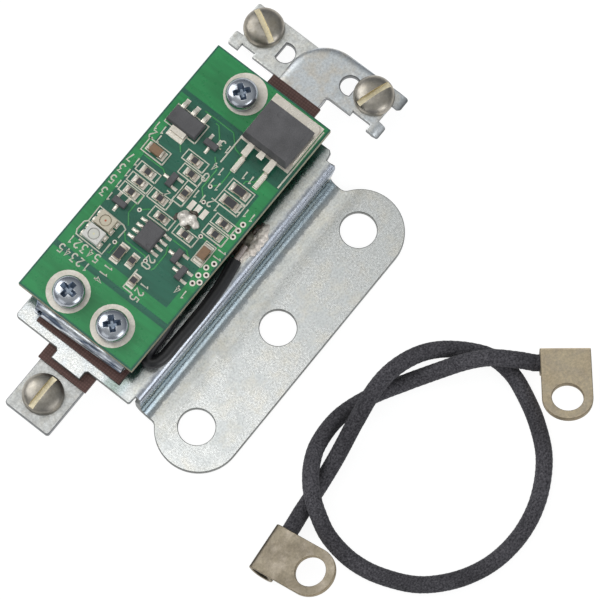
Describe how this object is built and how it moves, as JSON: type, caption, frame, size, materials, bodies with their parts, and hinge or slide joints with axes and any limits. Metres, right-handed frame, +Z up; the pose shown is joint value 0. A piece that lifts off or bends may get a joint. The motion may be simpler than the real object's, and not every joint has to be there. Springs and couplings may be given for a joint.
{
  "type": "battery monitor shunt",
  "caption": "Circuit board screwed to a riveted, insulated stack of screw terminals on a bent steel bracket with a drilled flange, with a loose braided jumper lead.",
  "frame": {"origin": "axis of the middle flange hole, at the underside of the flange", "axes": "+X along the board from the single terminal to the paired ones, +Y from the flange towards the board, +Z up out of the mounting face"},
  "size_m": [0.0902, 0.1001, 0.0178],
  "materials": {
    "zinc_steel": "bright zinc plate over pressed steel, mottled satin",
    "bright_strip": "bright rolled strip, nearly mirror smooth",
    "fibre_insulation": "brown laminate with a fine woven cloth face",
    "shunt_alloy": "coppery resistance alloy strip, satin",
    "rivet_steel": "plated steel, dull",
    "board_laminate": "green solder mask over glass laminate, light and dark areas",
    "bright_screw": "bright zinc plated, polished",
    "nickel_screw": "warm nickel plate, turned",
    "black_mould": "dark grey moulding compound, fine grained",
    "tinned_lead": "tin plated copper, satin",
    "resistor_film": "black glazed film on ceramic",
    "capacitor_ceramic": "tan ceramic, satin",
    "lamp_white": "white moulded housing",
    "green_lens": "pale clear resin",
    "red_lens": "pale pinkish resin",
    "solder": "dull bright solder with traces of brown flux",
    "wire_black": "black insulation, satin",
    "bare_copper": "bare copper strands",
    "cable_braid": "charcoal braided sleeve",
    "lug_nickel": "warm nickel plate, satin"
  },
  "bodies": {
    "base": {"mounting_bracket": "zinc_steel", "lower_insulator": "fibre_insulation", "near_terminal": "zinc_steel", "rear_right_terminal": "zinc_steel", "rear_left_terminal": "zinc_steel", "upper_insulator": "fibre_insulation", "shunt_strip": "shunt_alloy", "front_stand": "bright_strip", "rear_stand": "bright_strip", "stack_rivets": "rivet_steel", "rivet_bushings": "fibre_insulation", "circuit_board": "board_laminate", "board_washers": "bright_screw", "board_screws": "bright_screw", "power_transistor_body": "black_mould", "power_transistor_frame": "tinned_lead", "driver_transistor_body": "black_mould", "driver_transistor_leads": "tinned_lead", "control_chip_body": "black_mould", "control_chip_leads": "tinned_lead", "small_transistor_bodies": "black_mould", "small_transistor_leads": "tinned_lead", "resistor_bodies": "resistor_film", "resistor_ends": "tinned_lead", "capacitor_bodies": "capacitor_ceramic", "capacitor_ends": "tinned_lead", "lamp_housings": "lamp_white", "green_lamp_lens": "green_lens", "red_lamp_lens": "red_lens", "lamp_leads": "tinned_lead", "solder_bridge": "solder", "ground_wire": "wire_black", "ground_wire_ends": "bare_copper", "ground_solder": "solder"},
    "near_terminal_screw": {"near_terminal_screw": "nickel_screw"},
    "rear_right_terminal_screw": {"rear_right_terminal_screw": "nickel_screw"},
    "rear_left_terminal_screw": {"rear_left_terminal_screw": "nickel_screw"},
    "jumper": {"jumper_cable": "cable_braid", "jumper_lug_a": "lug_nickel", "jumper_lug_b": "lug_nickel"}
  },
  "joints": [
    {"name": "near_terminal_screw_turn", "type": "hinge", "parent": "base", "child": "near_terminal_screw", "pos_m": [-0.0367, 0.0246, 0.0054], "axis": [0, 0, 1], "range_deg": [0, 450]},
    {"name": "rear_right_terminal_screw_turn", "type": "hinge", "parent": "base", "child": "rear_right_terminal_screw", "pos_m": [0.0442, 0.0128, 0.0054], "axis": [0, 0, 1], "range_deg": [0, 450]},
    {"name": "rear_left_terminal_screw_turn", "type": "hinge", "parent": "base", "child": "rear_left_terminal_screw", "pos_m": [0.0423, 0.037, 0.0039], "axis": [0, 0, 1], "range_deg": [0, 450]},
    {"name": "jumper_lift", "type": "slide", "parent": "base", "child": "jumper", "axis": [0, 0, 1], "range_m": [0, 0.05]}
  ]
}
